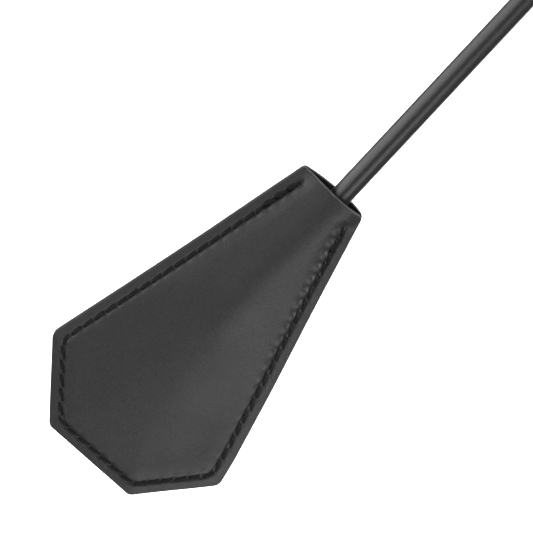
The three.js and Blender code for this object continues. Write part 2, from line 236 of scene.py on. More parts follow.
def rounded(corners, radius, steps=5):
    """An outline through corners of (x, y), each rounded by an arc-like curve; radius is one number or a list."""
    points = []
    for i, corner in enumerate(corners):
        corner = np.array(corner, float)
        before = np.array(corners[i - 1], float) - corner
        after = np.array(corners[(i + 1) % len(corners)], float) - corner
        r = radius[i] if hasattr(radius, "__len__") else radius
        if r <= 0:
            points.append(corner)
            continue
        start = corner + before / np.linalg.norm(before) * r
        end = corner + after / np.linalg.norm(after) * r
        for t in np.linspace(0, 1, steps):
            points.append((1 - t) ** 2 * start + 2 * t * (1 - t) * corner + t * t * end)
    return [tuple(p) for p in points]


# ---------------------------------------------------------------- materials

def node_material(name):
    """A new material with its nodes, its links and its shader."""
    material = bpy.data.materials.new(name)
    material.use_nodes = True
    nodes, links = material.node_tree.nodes, material.node_tree.links
    return material, nodes, links, nodes["Principled BSDF"]


def noise(nodes, links, scale, detail=3.0, stretch=None, roughness=0.55):
    """A noise texture in object metres, optionally stretched along an axis."""
    coordinates = nodes.new("ShaderNodeTexCoord")
    texture = nodes.new("ShaderNodeTexNoise")
    texture.inputs["Scale"].default_value = scale
    texture.inputs["Detail"].default_value = detail
    texture.inputs["Roughness"].default_value = roughness
    if stretch:
        mapping = nodes.new("ShaderNodeMapping")
        mapping.inputs["Scale"].default_value = stretch
        links.new(coordinates.outputs["Object"], mapping.inputs["Vector"])
        links.new(mapping.outputs["Vector"], texture.inputs["Vector"])
    else:
        links.new(coordinates.outputs["Object"], texture.inputs["Vector"])
    return texture


def ramp(nodes, links, source, stops):
    """A colour ramp from a 0 to 1 source; stops are (place, colour), and a colour may be one grey number."""
    made = nodes.new("ShaderNodeValToRGB")
    links.new(source, made.inputs["Fac"])
    elements = made.color_ramp.elements
    while len(elements) < len(stops):
        elements.new(0.5)
    for element, (place, colour) in zip(elements, stops):
        element.position = place
        element.color = (*((colour,) * 3 if isinstance(colour, float) else colour), 1)
    return made.outputs["Color"]


def bump(nodes, links, height, distance, strength=1.0, under=None):
    """A bump from a height texture, distance in metres, on top of the normals of another one."""
    made = nodes.new("ShaderNodeBump")
    made.inputs["Strength"].default_value = strength
    made.inputs["Distance"].default_value = distance
    links.new(height, made.inputs["Height"])
    if under is not None:
        links.new(under, made.inputs["Normal"])
    return made.outputs["Normal"]


def leather_material(name, dark, light, roughness, grain, depth):
    """Dyed smooth leather: pebbled grain, duller in the fine creases between the pebbles, over slow unevenness."""
    material, nodes, links, shader = node_material(name)
    cells = nodes.new("ShaderNodeTexVoronoi")
    cells.feature = "DISTANCE_TO_EDGE"
    cells.inputs["Scale"].default_value = grain
    cells.inputs["Randomness"].default_value = 0.9
    coordinates = nodes.new("ShaderNodeTexCoord")
    warp = noise(nodes, links, grain * 0.4, 2.0)
    bend = nodes.new("ShaderNodeVectorMath")
    bend.operation = "MULTIPLY_ADD"
    bend.inputs[1].default_value = (0.0004, 0.0004, 0.0004)
    links.new(warp.outputs["Color"], bend.inputs[0])
    links.new(coordinates.outputs["Object"], bend.inputs[2])
    links.new(bend.outputs["Vector"], cells.inputs["Vector"])
    pebble = ramp(nodes, links, cells.outputs["Distance"], [(0.0, 0.0), (0.28, 1.0)])
    fine = noise(nodes, links, grain * 2.6, 2.0)
    slow = noise(nodes, links, 60.0, 3.0)
    normal = bump(nodes, links, slow.outputs["Fac"], 0.0002, 0.4)
    normal = bump(nodes, links, pebble, depth, 0.4, normal)
    normal = bump(nodes, links, fine.outputs["Fac"], depth, 0.4, normal)
    links.new(normal, shader.inputs["Normal"])
    tone = nodes.new("ShaderNodeMix")
    tone.data_type = "RGBA"
    tone.inputs["A"].default_value = (*dark, 1)
    tone.inputs["B"].default_value = (*light, 1)
    speckle = noise(nodes, links, grain, 4.0, roughness=0.7)
    links.new(ramp(nodes, links, speckle.outputs["Fac"], [(0.38, 0.0), (0.62, 1.0)]), tone.inputs["Factor"])
    links.new(tone.outputs["Result"], shader.inputs["Base Color"])
    shine = ramp(nodes, links, pebble, [(0.0, roughness + 0.12), (1.0, roughness)])
    links.new(shine, shader.inputs["Roughness"])
    shader.inputs["Specular IOR Level"].default_value = 0.5
    return material


def edge_material():
    """The cut edge of dyed leather: fibrous, matt and a little paler and browner than the face."""
    material, nodes, links, shader = node_material("leather_cut_edge")
    fibres = noise(nodes, links, 2600.0, 4.0, roughness=0.7)
    tone = ramp(nodes, links, fibres.outputs["Fac"], [(0.3, (0.012, 0.0118, 0.0115)), (0.7, (0.03, 0.0295, 0.0285))])
    links.new(tone, shader.inputs["Base Color"])
    links.new(bump(nodes, links, fibres.outputs["Fac"], 0.00012, 0.8), shader.inputs["Normal"])
    shader.inputs["Roughness"].default_value = 0.78
    return material


def thread_material():
    """Waxed black thread: fine fibres along a twist that the mesh holds."""
    material, nodes, links, shader = node_material("waxed_thread")
    fibres = noise(nodes, links, 5200.0, 3.0)
    tone = ramp(nodes, links, fibres.outputs["Fac"], [(0.3, 0.003), (0.75, 0.01)])
    links.new(tone, shader.inputs["Base Color"])
    links.new(bump(nodes, links, fibres.outputs["Fac"], 0.00004, 0.6), shader.inputs["Normal"])
    shader.inputs["Roughness"].default_value = 0.7
    shader.inputs["Specular IOR Level"].default_value = 0.35
    return material


def shaft_material():
    """Smooth extruded cover: satin gloss with faint drawn lines along it."""
    material, nodes, links, shader = node_material("shaft_cover_satin")
    lines = noise(nodes, links, 2400.0, 3.0, stretch=(1, 1, 0.012))
    specks = noise(nodes, links, 900.0, 4.0)
    tone = ramp(nodes, links, specks.outputs["Fac"], [(0.35, (0.019, 0.0186, 0.018)), (0.7, (0.03, 0.0294, 0.0285))])
    links.new(tone, shader.inputs["Base Color"])
    links.new(ramp(nodes, links, lines.outputs["Fac"], [(0.3, 0.33), (0.7, 0.43)]), shader.inputs["Roughness"])
    shader.inputs["Specular IOR Level"].default_value = 0.82
    shader.inputs["Specular Tint"].default_value = (1.0, 0.995, 0.985, 1)
    normal = bump(nodes, links, lines.outputs["Fac"], 0.00002, 0.5)
    links.new(normal, shader.inputs["Normal"])
    return material


def plastic_material():
    """Moulded satin plastic with a fine spark-eroded texture."""
    material, nodes, links, shader = node_material("trim_plastic_satin")
    grain = noise(nodes, links, 3800.0, 2.0)
    slow = noise(nodes, links, 150.0, 3.0)
    tone = ramp(nodes, links, slow.outputs["Fac"], [(0.3, 0.011), (0.7, 0.017)])
    links.new(tone, shader.inputs["Base Color"])
    links.new(ramp(nodes, links, slow.outputs["Fac"], [(0.3, 0.36), (0.7, 0.46)]), shader.inputs["Roughness"])
    links.new(bump(nodes, links, grain.outputs["Fac"], 0.00003, 0.5), shader.inputs["Normal"])
    return material


def plain_material(name, dark, light, scale, roughness, metallic=0.0, stretch=None):
    """A grained finish for the pieces inside: wood, fibreglass, rubber and steel."""
    material, nodes, links, shader = node_material(name)
    grain = noise(nodes, links, scale, 4.0, stretch=stretch)
    links.new(ramp(nodes, links, grain.outputs["Fac"], [(0.3, dark), (0.7, light)]), shader.inputs["Base Color"])
    links.new(bump(nodes, links, grain.outputs["Fac"], 0.00005, 0.5), shader.inputs["Normal"])
    shader.inputs["Roughness"].default_value = roughness
    shader.inputs["Metallic"].default_value = metallic
    return material


keeper_leather = leather_material(
    "keeper_leather_black", (0.0285, 0.0285, 0.0305), (0.0445, 0.0445, 0.047),
    roughness=0.325, grain=2200.0, depth=0.00006,
)
grip_leather = leather_material(
    "grip_leather_black", (0.022, 0.022, 0.023), (0.034, 0.034, 0.035),
    roughness=0.34, grain=1500.0, depth=0.0001,
)
strap_leather = leather_material(
    "strap_leather_black", (0.024, 0.024, 0.025), (0.034, 0.034, 0.035),
    roughness=0.34, grain=1300.0, depth=0.00008,
)
cut_edge = edge_material()
thread = thread_material()
shaft_cover = shaft_material()
trim_plastic = plastic_material()
fibreglass = plain_material("fibreglass_rod", (0.30, 0.28, 0.2), (0.42, 0.39, 0.3), 3000.0, 0.45, stretch=(1, 1, 0.02))
rubber = plain_material("rubber_matt", (0.006, 0.006, 0.006), (0.014, 0.014, 0.014), 2500.0, 0.85)
wood = plain_material("turned_wood", (0.22, 0.13, 0.06), (0.36, 0.24, 0.12), 700.0, 0.6, stretch=(1, 1, 0.06))
steel = plain_material("pin_steel", (0.42, 0.42, 0.43), (0.6, 0.6, 0.61), 2500.0, 0.32, 1.0, stretch=(0.05, 1, 1))


# ---------------------------------------------------------------- keeper shape

def half_width(depth):
    """The pattern's half width with its shoulders and end corners rounded."""
    shoulder_round, end_round = 1.6, 1.1
    width = smooth_min(side_half(depth), bevel_half(depth), shoulder_round)
    past = np.clip((depth - (LENGTH - end_round)) / end_round, 0, 1)
    return width - 0.7 * end_round * (1 - np.sqrt(1 - past ** 2))


def mouth_round(depth, radius):
    """How far a rounded corner at the mouth lies inside the square one."""
    past = np.clip(1 - depth / radius, 0, 1)
    return radius * (1 - np.sqrt(1 - past ** 2))


def edge_distance(x, depth):
    """Distance in from the sewn part of the pattern's outline: the two sides, the bevels and the end."""
    side_scale = math.hypot(1, SIDE_SLOPE)
    bevel_scale = math.hypot(1, BEVEL_SLOPE)
    side = (side_half(depth) - np.abs(x)) / side_scale
    bevel = (bevel_half(depth) - np.abs(x)) / bevel_scale
    return smooth_min(smooth_min(side, bevel, 1.2), LENGTH - depth, 1.0)


def rod_x(depth):
    """Pattern x of the shaft's axis."""
    return ROD_X_AT_MOUTH + ROD_X_SLOPE * depth


# The two panels. crown: radius of the hollow over the rod; lift: how much it grows at the mouth; ridge: how far
# its crest leans to +X there; flare: 1 where the panel gapes right out to its left or right corner at the mouth
FRONT = {"side": -1, "crown": ROD_RADIUS + 0.15, "lift": 0.0, "ridge": 2.2, "flare": (0.3, 1.0), "seed": 1.0}
BACK = {"side": 1, "crown": ROD_RADIUS + 0.4, "lift": 1.1, "ridge": 0.0, "flare": (1.0, 1.0), "seed": 2.4}


def flare_at(x, panel):
    """The panel's flare on the side of each point."""
    left, right = panel["flare"]
    return np.where(x > 0, right, left)


def tent(x, depth, centre, crown, flare):
    """Leather drawn over a round crown: straight down to the seams low down, bowed out near the mouth."""
    free = flare * (1 - smooth(depth, 0.0, 7.0))
    foot = SEAM_MARGIN + 0.5 - (SEAM_MARGIN + 0.2) * free
    edge = side_half(depth) - foot
    off = x - centre
    reach = np.maximum(np.where(off > 0, edge - centre, edge + centre), crown + 0.25)
    touch = crown ** 2 / reach
    height = crown * np.sqrt(1 - (crown / reach) ** 2)
    away = np.abs(off)
    on_rod = np.sqrt(np.maximum(crown ** 2 - off ** 2, 0))
    on_line = height * (reach - away) / (reach - touch)
    straight = np.where(away <= touch, on_rod, np.maximum(on_line, 0))
    bowed = crown * np.maximum(1 - (away / reach) ** 2, 0)
    stiff = 0.85 - 0.6 * smooth(depth, 12, 48)
    return straight + stiff * (bowed - straight)


def hollow(x, depth, panel):
    """The tent over the rod, and over the fold that leans off it near the mouth."""
    lean = 1 - smooth(depth, 0.0, 34.0)
    off_rod = 0.55 * smooth(depth, 6, 34)
    crown = panel["crown"] + panel["lift"] * lean + off_rod
    flare = flare_at(x, panel)
    over_rod = tent(x, depth, rod_x(depth), crown, flare)
    fold_centre = rod_x(depth) + panel["ridge"] * lean
    fold = tent(x, depth, fold_centre, crown + 0.12 * panel["ridge"] * lean, flare)
    return np.maximum(over_rod, fold)


def swelling(x, depth, panel):
    """The hollow, softened by the leather's stiffness, dying out below the rod's end."""
    steps = np.linspace(-1, 1, 11)
    weights = 1 - np.abs(steps) / 1.2
    # Millimetres to each side over which the leather evens out: less where the mouth's edge bends easily
    reach = 2.6 + 3.6 * smooth(depth, 6, 34)
    soft = sum(w * hollow(x + step * reach, depth, panel) for step, w in zip(steps, weights)) / weights.sum()
    clear_of_rod = np.sqrt(np.maximum((ROD_RADIUS + 0.1) ** 2 - (x - rod_x(depth)) ** 2, 0))
    soft = np.maximum(soft, clear_of_rod)
    fade = 1 - smooth(depth, ROD_DEPTH - 6, ROD_DEPTH + 34)
    loose = 1 - smooth(depth, 1.0, 7.0)
    inside = smooth(edge_distance(x, depth), SEAM_MARGIN - 0.4 - 2.4 * loose, SEAM_MARGIN + 1.6 + 1.2 * loose)
    gape = flare_at(x, panel) * (1 - smooth(depth, 3.0, 8.0))
    return soft * fade * (inside * (1 - gape) + gape)


def seam_corners():
    """The seam's line in the pattern, from the left end at the mouth, round the keeper, to the right end."""
    side_shift = SEAM_MARGIN * math.hypot(1, SIDE_SLOPE)
    bevel_shift = SEAM_MARGIN * math.hypot(1, BEVEL_SLOPE)
    shoulder_depth = SHOULDER_DEPTH - (bevel_shift - side_shift) / (SIDE_SLOPE + BEVEL_SLOPE)
    shoulder_x = side_half(shoulder_depth) - side_shift
    end_depth = LENGTH - SEAM_MARGIN
    end_x = bevel_half(end_depth) - bevel_shift
    ends = [(side_half(start) - side_shift, start) for start in (LEFT_START, RIGHT_START)]
    corners = [(shoulder_x, shoulder_depth), (end_x, end_depth)]
    left = [(-x, depth) for x, depth in [ends[0]] + corners]
    line = left + corners[::-1] + [ends[1]]
    points = rounded(line, [0, SEAM_ROUND, SEAM_ROUND, SEAM_ROUND, SEAM_ROUND, 0], 4)
    return np.array(points)


SEAM = seam_corners()
SEAM_STEPS = np.linalg.norm(np.diff(SEAM, axis=0), axis=1)
SEAM_ALONG = np.concatenate([[0], np.cumsum(SEAM_STEPS)])
SEAM_LENGTH = SEAM_ALONG[-1]
STITCHES = int(round(SEAM_LENGTH / STITCH_PITCH))
PITCH = SEAM_LENGTH / STITCHES


def seam_place(x, depth):
    """(distance from the seam's line, length along the seam) of pattern points."""
    best = np.full(np.shape(x), 1e9)
    along = np.zeros(np.shape(x))
    for start, end, length, before in zip(SEAM, SEAM[1:], SEAM_STEPS, SEAM_ALONG):
        step = (end - start) / length
        run = np.clip((x - start[0]) * step[0] + (depth - start[1]) * step[1], 0, length)
        far = np.hypot(x - start[0] - run * step[0], depth - start[1] - run * step[1])
        nearer = far < best
        best = np.where(nearer, far, best)
        along = np.where(nearer, before + run, along)
    return best, along


def seam_point(along):
    """(point, direction) in the pattern at a length along the seam."""
    i = int(np.clip(np.searchsorted(SEAM_ALONG, along, side="right") - 1, 0, len(SEAM_STEPS) - 1))
    direction = (SEAM[i + 1] - SEAM[i]) / SEAM_STEPS[i]
    return SEAM[i] + direction * (along - SEAM_ALONG[i]), direction


def wave(x, depth, size, seed):
    """A slow, repeatable waviness between -1 and 1."""
    a = np.sin(x / size + 1.7 * seed + 1.3 * np.sin(depth / size * 0.7 + seed))
    b = np.sin(depth / size * 0.9 - 0.8 * seed + 1.1 * np.sin(x / size * 0.6 + 2 * seed))
    return 0.5 * (a + b)


def seam_relief(x, depth):
    """The thread's pull on the leather: a groove, a dimple at each hole and puckers beside them."""
    far, along = seam_place(x, depth)
    phase = along / PITCH
    hole = 0.5 + 0.5 * np.cos(2 * math.pi * phase)
    groove = GROOVE[0] * np.exp(-(far / GROOVE[1]) ** 4)
    dimple = DIMPLE[0] * hole ** 3 * np.exp(-(far / DIMPLE[1]) ** 2)
    inside = edge_distance(x, depth) > SEAM_MARGIN
    # The right side is sewn tighter than the left, most of all towards the mouth
    right = along > SEAM_LENGTH / 2
    tight = np.where(right, 1 - smooth(depth, 20, 70), 0.08 * (1 - smooth(depth, 8, 40)))
    beside = np.exp(-((far - 1.0) / PUCKER[1]) ** 2)
    pucker = np.where(inside, (0.04 + PUCKER[0] * tight) * beside * np.cos(2 * math.pi * (phase + 0.5)), 0)
    return pucker - groove - dimple


def outer_stand(x, depth, panel):
    """How far a panel's outer face stands off the middle plane, in millimetres."""
    inner = swelling(x, depth, panel)
    step = 0.3
    slope = (swelling(x + step, depth, panel) - swelling(x - step, depth, panel)) / (2 * step)
    thick = LEATHER * np.minimum(np.sqrt(1 + slope ** 2), 1.45)
    edge = edge_distance(x, depth)
    across_panel = np.clip(np.abs(x) / side_half(depth), 0, 1)
    pillow = 1.3 * (1 - across_panel ** 2) * smooth(edge, SEAM_MARGIN, SEAM_MARGIN + 20)
    pillow += 0.3 * smooth(edge, SEAM_MARGIN, SEAM_MARGIN + 4)
    pillow *= 1 - 0.8 * smooth(inner, 0.2, 2.4)
    margin = 0.55 * (1 - smooth(edge, 0.2, SEAM_MARGIN + 0.6))
    nearest = np.minimum(edge, np.maximum(depth, 0) + 0.12)
    past = np.clip(1 - nearest / EDGE_ROUND, 0, 1)
    lip = EDGE_ROUND * (1 - np.sqrt(1 - past ** 2))
    ripple = 0.05 * wave(x, depth, 4.5, panel["seed"]) + 0.03 * wave(x, depth, 1.9, panel["seed"] + 3)
    return inner + thick + pillow - margin - lip + ripple + seam_relief(x, depth)


def keeper_columns(depth, inner_columns=44):
    """Pattern x of the columns at one depth: close together at the seams, which they follow."""
    edge_steps = [0, 0.1, 0.25, 0.5, 0.9, 1.4, 1.9]
    seam_steps = list(np.arange(2.1, 4.3, 0.2))
    steps = np.array(edge_steps + seam_steps + [4.7, 5.3, 6.0])
    spread = math.hypot(1, SIDE_SLOPE)
    spread += (math.hypot(1, BEVEL_SLOPE) - spread) * smooth(depth, SHOULDER_DEPTH - 1.5, SHOULDER_DEPTH + 1.5)
    near_mouth = 0.88 + 0.12 * smooth(depth, 0, 12)
    half = half_width(depth)
    left = -half + mouth_round(depth, LEFT_MOUTH_ROUND) + steps * spread * near_mouth
    right = half - mouth_round(depth, RIGHT_MOUTH_ROUND) - steps * spread * near_mouth
    middle = np.linspace(left[-1], right[-1], inner_columns + 2)[1:-1]
    return np.concatenate([left, middle, right[::-1]])


def keeper_rows():
    """Pattern depths of the rows: close together at the mouth's edge and at the end."""
    near = [0, 0.1, 0.22, 0.4, 0.65, 0.95]
    far = [0, 0.1, 0.22, 0.4, 0.65, 0.95, 1.3, 1.7]
    middle = np.arange(1.35, LENGTH - 2.0, 0.42)
    return np.concatenate([near, middle, LENGTH - np.array(far[::-1])])


def keeper_panel(name, panel):
    """One leather panel: its grained face, its flesh side and the cut edge all round it."""
    rows = keeper_rows()
    x = np.array([keeper_columns(depth) for depth in rows])
    depth = np.repeat(rows[:, None], x.shape[1], axis=1)
    face = MIDDLE_GAP + outer_stand(x, depth, panel)
    flesh = MIDDLE_GAP + swelling(x, depth, panel)
    outer = keeper_points(x, depth, panel["side"] * face)
    inner = keeper_points(x, depth, panel["side"] * flesh)
    vertices, faces = shell(outer, inner)
    obj = new_object(name, vertices, faces, keeper_leather, 50)
    obj.data.materials.append(cut_edge)
    paint_cut_edge(obj, panel["side"])
    return obj


def paint_cut_edge(obj, side):
    """Faces that look along the panel, or in at the flesh side, take the cut edge's material."""
    for polygon in obj.data.polygons:
        if side * polygon.normal.y < 0.25:
            polygon.material_index = 1


keeper_front = keeper_panel("keeper_front", FRONT)
keeper_back = keeper_panel("keeper_back", BACK)


# ---------------------------------------------------------------- stitches

def stitch_points(along, length, panel, rise=0.0, shift=0.0, slant=STITCH_SLANT):
    """A stitch's centre line: it comes up out of one hole, lies in the groove and goes down the next."""
    middle, direction = seam_point(along)
    normal = np.array([-direction[1], direction[0]])
    run = direction * math.cos(slant) + normal * math.sin(slant)
    t = np.linspace(-1, 1, 11)
    line = middle + normal * shift + np.outer(t * length / 2, run)
    sunk, dive = 0.26, 0.6
    face = outer_stand(line[:, 0], line[:, 1], panel) - seam_relief(line[:, 0], line[:, 1])
    stand = MIDDLE_GAP + face - sunk + rise * (1 - t ** 2) - dive * t ** 6
    return keeper_points(line[:, 0], line[:, 1], panel["side"] * stand)


def thread_tube(line, half_width, half_height, twist, side):
    """Vertices and faces of a two-ply tube round a line, thin at its ends."""
    line = np.asarray(line)
    count, around = len(line), 10
    tangent = np.gradient(line, axis=0)
    tangent /= np.linalg.norm(tangent, axis=1)[:, None]
    up = np.array(outward) * side
    lateral = np.cross(tangent, up)
    lateral /= np.linalg.norm(lateral, axis=1)[:, None]
    above = np.cross(lateral, tangent)
    t = np.linspace(-1, 1, count)
    taper = np.sqrt(np.maximum(1 - (0.93 * t) ** 4, 0.05))
    angles = np.linspace(0, 2 * math.pi, around, endpoint=False)
    ply = 1 + 0.16 * np.cos(2 * (angles[None, :] - twist * t[:, None]))
    wide = (half_width * MM * taper)[:, None] * ply * np.cos(angles)
    high = (half_height * MM * taper)[:, None] * ply * np.sin(angles)
    points = line[:, None] + wide[..., None] * lateral[:, None] + high[..., None] * above[:, None]
    faces = grid_faces(count, around, wrap=True)
    faces.append(tuple(range(around))[::-1])
    faces.append(tuple(range((count - 1) * around, count * around)))
    return points.reshape(-1, 3), faces


def stitch_run(name, panel):
    """Every stitch on one face, looser up the right side, with the doubled ones that lock the seam's ends."""
    specs = []
    for i in range(STITCHES):
        wobble = math.sin(2.3 * i + panel["seed"])
        loose = 1 - float(smooth(SEAM_LENGTH - i * PITCH, 45, 95))
        shift = (0.06 + 0.1 * loose) * wobble
        slant = STITCH_SLANT * (1 + 0.7 * loose + 0.35 * wobble)
        specs.append(((i + 0.5) * PITCH, STITCH_LENGTH + 0.12 * wobble, 0.12 * loose, shift, slant))
    for i in range(DOUBLED_STITCHES):
        specs.append(((i + 0.75) * PITCH, STITCH_LENGTH, 0.22, 0.42, -0.4 * STITCH_SLANT))
    for i in range(DOUBLED_STITCHES):
        along = SEAM_LENGTH - (i + 0.7) * PITCH
        specs.append((along, STITCH_LENGTH, 0.24, 0.45 * (-1) ** i, 1.6 * STITCH_SLANT))
    vertices, faces, start = [], [], 0
    for i, (along, length, rise, shift, slant) in enumerate(specs):
        line = stitch_points(along, length, panel, rise, shift, slant)
        bulk = STITCH_HALF_WIDTH * (1 + 0.3 * (1 - float(smooth(along, 10, 26))) + 0.07 * math.sin(4.1 * i))
        points, quads = thread_tube(line, bulk, STITCH_HALF_HEIGHT, 3.2 + 0.2 * math.sin(i), panel["side"])
        vertices.append(points)
        faces += [tuple(start + v for v in quad) for quad in quads]
        start += len(points)
    return new_object(name, np.concatenate(vertices), faces, thread, 60)


front_stitches = stitch_run("keeper_stitches_front", FRONT)
back_stitches = stitch_run("keeper_stitches_back", BACK)


# ---------------------------------------------------------------- shaft

def shaft_piece():
    """The shaft's smooth cover, with its ends rounded off."""
    low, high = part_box("shaft_cover")
    radius = (high.x - low.x) / 2 / MM
    bottom, top = low.z / MM, high.z / MM
    heights = np.linspace(bottom + 0.3, top - 0.3, 60)
    profile = [(radius - 0.7, bottom), (radius - 0.2, bottom)]
    profile += [(radius, z) for z in heights]
    profile += [(radius - 0.2, top), (radius - 0.7, top), (radius - 0.7, bottom)]
    return turned("shaft_cover_tube", profile, shaft_cover, 64, 60)


shaft = shaft_piece()


# ---------------------------------------------------------------- grip

def grip_piece():
    """Leather strip wound in a spiral up the grip, each turn lapped over the one below it."""
    low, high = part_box("grip_cover")
    bottom, top = low.z / MM, high.z / MM
    core_top, core_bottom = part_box("grip_core")[1].x / MM, 5.0
    radius_top = (high.x - low.x) / 2 / MM
    radius_bottom = radius_top - (core_top - core_bottom)
    pitch, per_turn, around = 15.5, 24, 72
    step = pitch / per_turn
    rows = int((top - bottom) / step) + per_turn + 12
    turn = np.linspace(0, 1, around + 1)
    i = np.arange(rows)[:, None]
    height = bottom - pitch - 2 + i * step + pitch * turn[None, :]
    phase = (i % per_turn) / per_turn + 0 * turn[None, :]
    # phase runs from 0 to 1 up each turn of the strip: its lapped edge, its thinning and the crease above it
    base = radius_bottom + (radius_top - radius_bottom) * (height - bottom) / (top - bottom)
    lap = 0.75 * (1 - phase) ** 0.8 * smooth(phase, 0.0, 0.055)
    crease = 0.22 * np.exp(-((phase - 0.985) / 0.03) ** 2)
    uneven = 0.06 * np.sin(2 * math.pi * turn[None, :] * 3 + i * 0.21)
    radius = base - 0.75 + lap - crease + uneven
    ends = smooth(height, bottom - 0.2, bottom + 1.6) * (1 - smooth(height, top - 1.6, top + 0.2))
    radius = (base - 1.35) + (radius - base + 1.35) * ends
    height = np.clip(height, bottom - 0.001 * i, top + 0.001 * i)
    angle = 2 * math.pi * turn[None, :] + 0 * height
    points = np.stack([radius * np.cos(angle), radius * np.sin(angle), height], axis=-1) * MM
    core = np.stack([(base - 1.4) * np.cos(angle), (base - 1.4) * np.sin(angle), height], axis=-1) * MM
    keep = np.where((height.max(axis=1) > bottom - 0.5) & (height.min(axis=1) < top + 0.5))[0]
    vertices, faces = shell(points[keep], core[keep])
    return new_object("grip_spiral_wrap", vertices, faces, grip_leather, 50)


def ferrule_piece():
    """Ferrule where the grip starts: a cone up from the shaft to a raised rim."""
    low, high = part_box("lower_ferrule")
    bottom, top, radius = low.z / MM, high.z / MM, high.x / MM
    bore = ROD_RADIUS + 0.15
    corners = [
        (bore, bottom), (4.1, bottom), (4.7, bottom + 1.2), (6.15, top - 5.2), (6.2, top - 4.2),
        (radius, top - 3.6), (radius, top - 0.1), (bore, top - 0.1),
    ]
    profile = rounded(corners, [0.15, 0.4, 0.5, 0.4, 0.4, 0.7, 0.7, 0.2])
    return turned("lower_ferrule_turned", profile + profile[:1], trim_plastic)


def collar_piece():
    """Collar under the cap: two rims with a shallow waist between them."""
    low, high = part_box("upper_collar")
    bottom, top, radius = low.z / MM, high.z / MM, high.x / MM
    bore = 4.95
    corners = [
        (bore, bottom), (radius, bottom), (radius, bottom + 1.9), (radius - 0.5, bottom + 2.2),
        (radius - 0.5, top - 2.2), (radius, top - 1.9), (radius, top), (bore, top),
    ]
    profile = rounded(corners, [0.2, 0.8, 0.25, 0.2, 0.2, 0.25, 0.8, 0.2])
    return turned("upper_collar_turned", profile + profile[:1], trim_plastic)


def cut(obj, *cutters):
    """Cuts closed solids out of a piece and removes them."""
    for cutter in cutters:
        modifier = obj.modifiers.new("cut", "BOOLEAN")
        modifier.operation = "DIFFERENCE"
        modifier.solver = "EXACT"
        modifier.object = cutter
    bpy.context.view_layer.update()
    evaluated = obj.evaluated_get(bpy.context.evaluated_depsgraph_get())
    mesh = bpy.data.meshes.new_from_object(evaluated)
    obj.modifiers.clear()
    obj.data = mesh
    for cutter in cutters:
        bpy.data.objects.remove(cutter)
    mesh.shade_smooth()
    mesh.set_sharp_from_angle(angle=math.radians(35))


def prism(name, outline, bottom, top, material):
    """A straight block over a closed (x, y) outline, in millimetres."""
    count = len(outline)
    vertices = [(x * MM, y * MM, z * MM) for z in (bottom, top) for x, y in outline]
    faces = [tuple(range(count))[::-1], tuple(range(count, 2 * count))]
    faces += [(i, (i + 1) % count, (i + 1) % count + count, i + count) for i in range(count)]
    return new_object(name, vertices, faces, material)


def cap_piece():
    """Mushroom cap on its hollow stem, with the slot that the strap comes out of."""
    low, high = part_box("butt_cap")
    stem_low, top, radius = low.z / MM, high.z / MM, high.x / MM
    bore, bore_top, axis = 2.25, top - 15.2, 0.01
    collar_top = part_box("upper_collar")[1].z / MM
    under = collar_top + 0.25
    corners = [
        (bore, stem_low), (4.5, stem_low), (4.5, under), (radius - 2.6, under),
        (radius - 0.5, under + 1.4), (radius, under + 5.0), (radius - 1.0, top - 6.0),
        (radius - 4.6, top - 0.7), (axis, top), (axis, bore_top), (bore, bore_top),
    ]
    profile = rounded(corners, [0.1, 0.3, 0.3, 0.9, 1.6, 2.6, 3.4, 2.6, 0.0, 0.0, 0.0], 9)
    cap = turned("butt_cap_head", profile + profile[:1], trim_plastic, 128)
    slot_x, slot_y, slot_depth = 3.42, 5.32, 12.0
    outline = rounded([(-slot_x, -slot_y), (slot_x, -slot_y), (slot_x, slot_y), (-slot_x, slot_y)], 0.8, 6)
    slot = prism("slot_cutter", outline, top - slot_depth, top + 2, trim_plastic)
    cut(cap, slot)
    return cap


grip = grip_piece()
ferrule = ferrule_piece()
collar = collar_piece()
cap = cap_piece()


# ---------------------------------------------------------------- wrist strap

def bezier(points, count):
    """Points along a cubic curve with four control points."""
    t = np.linspace(0, 1, count)[:, None]
    a, b, c, d = (np.array(p, float) for p in points)
    return (1 - t) ** 3 * a + 3 * t * (1 - t) ** 2 * b + 3 * t * t * (1 - t) * c + t ** 3 * d


def strap_route():
    """The strap's centre line in X and Z, millimetres: out of the slot, round the loop and back in."""
    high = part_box("wrist_strap")[1]
    tail_low, tail_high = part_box("strap_tail_right")
    hinge = joints["loop_swing"]["pos_m"][2] / MM
    foot = tail_low.z / MM
    thick = (tail_high.x - tail_low.x) / MM
    leg = tail_low.x / MM + thick / 2
    top = high.z / MM - thick / 2
    widest = high.x / MM - thick / 2
    fork, wide = hinge + 52, top - 34
    lower = [(leg, fork), (leg, fork + 20), (widest, wide - 24), (widest, wide)]
    upper = [(widest, wide), (widest, wide + 19), (15, top), (0, top)]
    straight = [(leg, z) for z in np.linspace(foot, fork, 120)]
    half = np.concatenate([straight, bezier(lower, 34)[1:], bezier(upper, 30)[1:]])
    mirrored = half[::-1][1:] * (-1, 1)
    return np.concatenate([half, mirrored]), thick


def strap_section(width, thick):
    """Strap section as (across, through) points: rounded edges and a creased line near each of them."""
    half, t = width / 2, thick / 2
    crease = [(half - 1.9, t), (half - 1.5, t - 0.16), (half - 1.1, t)]
    right_top = crease + [(half - 0.55, t), (half - 0.22, t - 0.14), (half - 0.04, t - 0.5), (half, t - 1.0)]
    right = right_top + [(x, -y) for x, y in right_top[::-1]]
    left = [(-x, -y) for x, y in right]
    return np.array(right + left)


